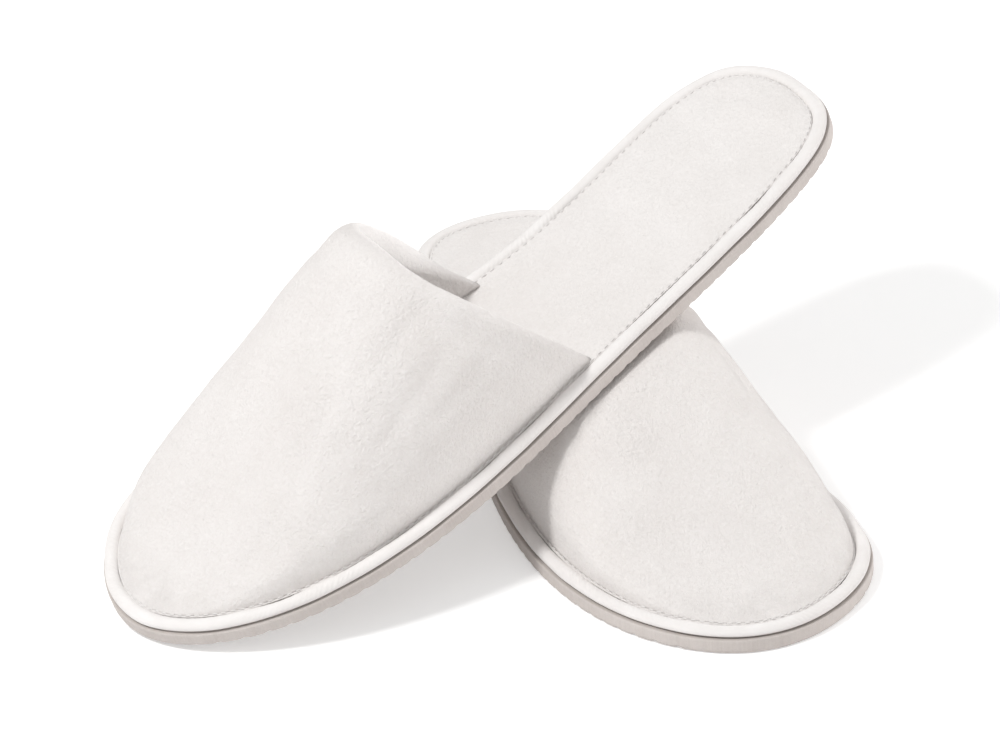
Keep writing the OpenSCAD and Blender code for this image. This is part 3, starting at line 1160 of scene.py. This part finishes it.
def shape_face(side, points, arch, share, depth):
    """Flares the foot out towards the bead, adds creases and sag, and presses the lower vamp."""
    style = STYLE[side]
    shaped = points.copy()
    arch = np.broadcast_to(arch, share.shape)
    sine, cosine = np.sin(np.radians(arch)), np.cos(np.radians(arch))
    x = np.clip(vamp_at(arch, share, 0.0, style.height)[..., 0], None, VAMP_TIP_X)
    outer, inner = rim_at(x, FOOT_IN)
    w = smooth(cosine, -0.6, 0.6)[..., None]
    inward = rim_normal(outer) * w + rim_normal(inner) * (1 - w)
    inward /= np.linalg.norm(inward, axis=-1, keepdims=True)
    low = np.exp(-(np.maximum(points[..., 2] - Z_FOOT, 0) / 1.3))
    shaped[..., :2] -= inward * (0.55 * low)[..., None]
    # Soft hollows and folds push along the outward direction of the arch.
    outward = np.stack([np.full(share.shape, 0.15), cosine, sine], -1)
    outward /= np.linalg.norm(outward, axis=-1, keepdims=True)
    flat = unrolled(x, arch)
    relief = 0.36 * waves(flat, size=26, seed=style.broad_seed)
    relief = relief + 0.12 * waves(flat, size=9, seed=style.fine_seed)
    if side == "left":
        # The inner flank is plumper towards the toe, and leans out over the bead.
        flank = smooth(arch, 88, 128) * (1 - smooth(arch, 168, 179))
        relief = relief + 2.45 * flank * smooth(x, 195, 268) * (1 - smooth(x, 268, 283))
    for entry in style.creases:
        relief = relief - crease(flat, *entry)
    held = smooth(points[..., 2] - Z_FOOT, 0.5, 9)
    shaped += outward * (relief * held)[..., None]
    return press(side, shaped + sag(side, arch, share), depth)


def press(side, points, depth):
    """Keeps the lower (right) vamp under the upper slipper's sole, softening the dent's edge."""
    if side == "left":
        return points
    flat = points.reshape(-1, 3)
    # In the upper slipper's frame its sole is the plane z = 0.
    local = from_row("left", to_row("right", flat) + SHIFT["right"] - SHIFT["left"])
    near, _ = edge_distance(local[:, :2], 0.0, step=4)
    outer, inner = rim_at(np.clip(local[:, 0], HEEL_X + 1e-3, TOE_X - 1e-3))
    inside = (
        (local[:, 1] < rim(outer)[:, 1])
        & (local[:, 1] > rim(inner)[:, 1])
        & (local[:, 0] > HEEL_X)
        & (local[:, 0] < TOE_X)
    )
    away = np.where(inside, 0.0, near)
    # Room left under the sole: more near the throat, none well inside the outline.
    slack = 0.8 + 2.4 * (1 - smooth(flat[:, 0], 158, 200))
    slack = np.where(inside, slack * (1 - smooth(near, 3, 18)), slack)
    limit = -0.35 - slack - depth.reshape(-1) + 0.05 * away**2 + 0.05 * away
    over = local[:, 2] - limit
    soft = 0.8
    eased = soft * np.log1p(np.exp(np.clip(over / soft, -40, 8)))
    local[:, 2] -= np.where(over > 8 * soft, over, eased)
    row = to_row("left", local) + SHIFT["left"]
    return from_row("right", row - SHIFT["right"]).reshape(points.shape)


# ------------------------------------------------------------------ vamp pieces
def join_path(path):
    """Joins (share, depth) stretches, each (arch angles, steps), into two arrays."""
    share = np.concatenate([s for s, _ in path], 1)
    depth = np.concatenate([np.broadcast_to(d, s.shape) for s, d in path], 1)
    return share, depth


def grid_solid(points):
    """Closed solid from a sheet points[column, path].

    Each path runs out along one face and back along the other. The first and last columns are
    closed by strips.
    """
    cols, k = points.shape[:2]
    faces = []
    for i in range(cols - 1):
        for j in range(k - 1):
            a = i * k + j
            faces.append((a, a + 1, a + k + 1, a + k))
    for i, reverse in ((0, False), (cols - 1, True)):
        for j in range(k // 2 - 1):
            a, z = i * k + j, i * k + k - 1 - j
            strip = (a, z, z - 1, a + 1)
            faces.append(strip[::-1] if reverse else strip)
    return points.reshape(-1, 3), faces


def vamp_outer(side):
    """The velour: up from the sole, over the throat edge in a padded hem, then a band inside."""
    style = STYLE[side]
    arch_count, share_count = 168, 150
    face_back, band_back = 1.2, 4.05  # depth of the cloth's other face, on the vamp and the band
    band_end = 15.0  # distance of the band's end from the throat edge
    arch = arch_steps(arch_count)
    scale = throat_scale(arch, style.height)
    # How full the rolled hem is: full over the top, thin where it meets the sole.
    full = np.sqrt(np.sin(np.radians(arch)).clip(0))[:, None]
    # How far the hem stands out beyond the throat edge.
    reach = (
        0.3
        + style.hem_reach * smooth(arch, 60, 94) * (1 - smooth(arch, 138, 170))
        - 1.9 * smooth(arch, 154, 177)
        - 1.1 * (1 - smooth(arch, 0, 15))
    )[:, None]
    edge = hem_start(arch)[:, None]
    start = share_at(edge, scale)
    # From the toe to the start of the hem.
    face = start + (1 - start) * np.linspace(1, 0, share_count + 1)[None, :]
    face_distance = np.stack(
        [np.interp(row, scale[0], table) for row, table in zip(face, scale[1])]
    )

    def swell(distance):
        """How far the outer face stands out: a ridge at the hem and a dip behind it."""
        ridge = 0.35 * hill(distance, edge, 4.6)
        dip = 0.30 * hill(distance, edge + 8.5, 2.8)
        return style.plush + full * (ridge - dip)

    def band(distance):
        """Depth of the band inside: the hem's padding, then a groove and a low ridge."""
        return (
            5.1
            + full * 3.2 * hill(distance, edge + 0.6, 2.9)
            + full * 0.5 * hill(distance, 11.6, 2.0)
            - 0.45 * full * hill(distance, 9.4, 0.9)
        )

    def roll(phi, overhang, depth0, depth1):
        """Half turn round the throat edge between two depths."""
        distance = edge - (edge + overhang) * np.sin(phi)[None, :]
        depth = (depth0 + depth1) / 2 - (depth1 - depth0) / 2 * np.cos(phi)[None, :]
        return share_at(distance, scale), depth

    phi = np.linspace(0, math.pi, 19)[1:]
    wave = 0.9 * np.sin(np.radians(arch) * 3 + 0.7)[:, None]
    even = edge + (band_end - edge) * np.linspace(0, 1, 16)[1:][None, :]
    band_distance = even + wave * smooth(even, 6, 12)
    turn_distance = np.array([15.4, 15.5, 15.45, 15.3]) + wave
    share, depth = join_path([
        (face, -swell(face_distance)),
        roll(phi, reach, -swell(edge), band(edge)),
        (share_at(band_distance, scale), band(even)),
        # Round the band's end and back along the other face of the cloth.
        (share_at(turn_distance, scale), np.array([4.95, 4.75, 4.25, 4.1])),
        (share_at(band_distance[:, ::-1], scale), band_back),
        roll(phi[::-1], reach - 1.2, face_back, band_back),
        (face[:, ::-1], face_back),
    ])
    points = vamp_at(arch[:, None], share, depth * thin(arch)[:, None], style.height)
    points = shape_face(side, points, arch[:, None], share, depth)
    # inner: the share of painted light (paler colour and glow) on the turned-in cloth of the hem.
    inner = smooth(depth, 0.3, 3.6) * smooth(from_ends(arch), 3, 30)[:, None] * style.turned
    return build(f"{side}_vamp_outer", side, *grid_solid(points), inner=inner)


def vamp_layer(side, name, depth0, depth1, back):
    """An inner layer between two depths, starting back mm behind the throat edge."""
    height = STYLE[side].height
    arch_count, share_count = 96, 90
    arch = arch_steps(arch_count)
    scale = throat_scale(arch, height)
    start = share_at(np.full((arch_count + 1, 1), back), scale)
    face = start + (1 - start) * np.linspace(1, 0, share_count + 1)[None, :]
    # A rounded edge.
    phi = np.array([0.35, 0.65]) * math.pi
    distance = np.repeat((back - 0.5 * np.sin(phi))[None, :], arch_count + 1, 0)
    edge_depth = (depth0 + depth1) / 2 - (depth1 - depth0) / 2 * np.cos(phi)
    share, depth = join_path([
        (face, depth0),
        (share_at(distance, scale), edge_depth),
        (face[:, ::-1], depth1),
    ])
    points = vamp_at(arch[:, None], share, depth * thin(arch)[:, None], height)
    points = points + sag(side, np.broadcast_to(arch[:, None], share.shape), share)
    points = press(side, points, depth)
    return build(f"{side}_{name}", side, *grid_solid(points))


# ------------------------------------------------------------------ both slippers
def finish_piece(obj, slot, nodes):
    obj.data.materials.append(MATERIALS[slot])
    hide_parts(*nodes)
    return obj


# Builder, material slot, CAD piece.
SOLE_PIECES = (
    (outsole, "eva_outsole", "outsole"),
    (board, "fibreboard", "insole_board"),
    (pad, "sponge", "insole_foam"),
    (cover, "insole_velour", "insole_cover"),
    (binding, "binding_fabric", "edge_binding"),
    (stitches, "thread", "binding_stitch"),
)


def slipper(side):
    """The sole pieces, and the vamp pieces, which ride on the forefoot."""
    sole = [
        finish_piece(make(side), slot, [f"{side}_{node}_fore", f"{side}_{node}_heel"])
        for make, slot, node in SOLE_PIECES
    ]
    for obj in sole:
        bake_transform(obj)
    outer = finish_piece(vamp_outer(side), "vamp_velour", [f"{side}_vamp_outer"])
    foam = vamp_layer(side, "vamp_foam", depth0=1.32, depth1=2.85, back=2.4)
    finish_piece(foam, "sponge", [f"{side}_vamp_foam"])
    lining = vamp_layer(side, "vamp_lining", depth0=3.0, depth1=3.8, back=2.6)
    finish_piece(lining, "lining_fabric", [f"{side}_vamp_lining"])
    for obj in (outer, foam, lining):
        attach(obj, f"{side}_forefoot")


for side in ("right", "left"):
    slipper(side)


# ------------------------------------------------------------------ floor, in metres
def floor_material():
    s = Shader("floor")
    coords = s.node("ShaderNodeTexCoord").outputs["Object"]
    tone = s.noise(coords, scale=1.5, detail=3.0)
    # The glow is mostly for the camera, so the floor stays pale and barely lights the soles.
    seen = s.node("ShaderNodeLightPath").outputs["Is Camera Ray"]
    s.surface({
        "Base Color": s.ramp(tone, (0.3, grey(0.86)), (0.7, grey(0.88))),
        "Roughness": 0.9,
        "Specular IOR Level": 0.1,
        "Emission Color": (1, 1, 1, 1),
        "Emission Strength": s.plus(s.times(seen, 0.24), 0.09),
    })
    return s.material


bpy.ops.mesh.primitive_grid_add(x_subdivisions=2, y_subdivisions=2, size=12)
ground = bpy.context.object
ground.name = "floor"
ground.location.z = float(cad_lo.z) - 0.0002
ground.data.materials.append(floor_material())

# ------------------------------------------------------------------ camera
# Rows: the camera's right, down and forward directions in the row.
VIEW = np.array([
    [0.3200637368951106, 0.9451333799452653, -0.06543774475007574],
    [0.459970733727441, -0.21540732962336331, -0.8614096623899519],
    [-0.8282427955853142, 0.2456065480759222, -0.5036777691175706],
])
CAMERA_AT = (2.62343, -0.81667, 1.63083)

camera = bpy.data.objects.new("camera", bpy.data.cameras.new("camera"))
bpy.context.scene.collection.objects.link(camera)
camera_turn = Matrix((VIEW.T @ np.diag([1.0, -1.0, -1.0])).tolist())
camera.matrix_world = Matrix.Translation(Vector(CAMERA_AT)) @ camera_turn.to_4x4()
camera.data.sensor_width = 36
camera.data.lens = 359.9
camera.data.clip_start, camera.data.clip_end = 0.1, 30
bpy.context.scene.camera = camera

# ------------------------------------------------------------------ lights
LIGHT_TARGET = Vector((0.03, -0.03, 0.05))


def area_light(name, right, down, forward, distance, size, power, colour):
    """A rectangle facing the target, standing off it along a mix of the camera's directions."""
    data = bpy.data.lights.new(name, "AREA")
    data.shape = "RECTANGLE"
    data.size, data.size_y = size
    data.energy = power
    data.color = colour
    obj = bpy.data.objects.new(name, data)
    bpy.context.scene.collection.objects.link(obj)
    view_right, view_down, view_forward = (Vector(row) for row in VIEW)
    toward = (view_right * right + view_down * down + view_forward * forward).normalized()
    obj.location = LIGHT_TARGET + toward * distance
    obj.rotation_mode = "QUATERNION"
    obj.rotation_quaternion = (-toward).to_track_quat("-Z", "Y")


area_light(
    "key", right=-0.9, down=-0.9, forward=-1.0,
    distance=2.0, size=(0.35, 0.35), power=21.0, colour=(1.0, 1.0, 0.995),
)
area_light(
    "fill", right=0.95, down=-0.15, forward=-0.9,
    distance=2.2, size=(1.0, 1.0), power=2.2, colour=(1.0, 0.97, 0.95),
)
area_light(
    "rim", right=1.0, down=-0.3, forward=0.1,
    distance=2.0, size=(1.0, 0.8), power=13.5, colour=(1.0, 0.975, 0.96),
)

world = bpy.data.worlds.new("studio")
world.use_nodes = True
background = world.node_tree.nodes["Background"]
background.inputs["Color"].default_value = (1, 1, 1, 1)
background.inputs["Strength"].default_value = 0.58
bpy.context.scene.world = world
bpy.context.scene.view_settings.view_transform = "Standard"
bpy.context.scene.view_settings.look = "None"
bpy.context.scene.view_settings.exposure = 0.06
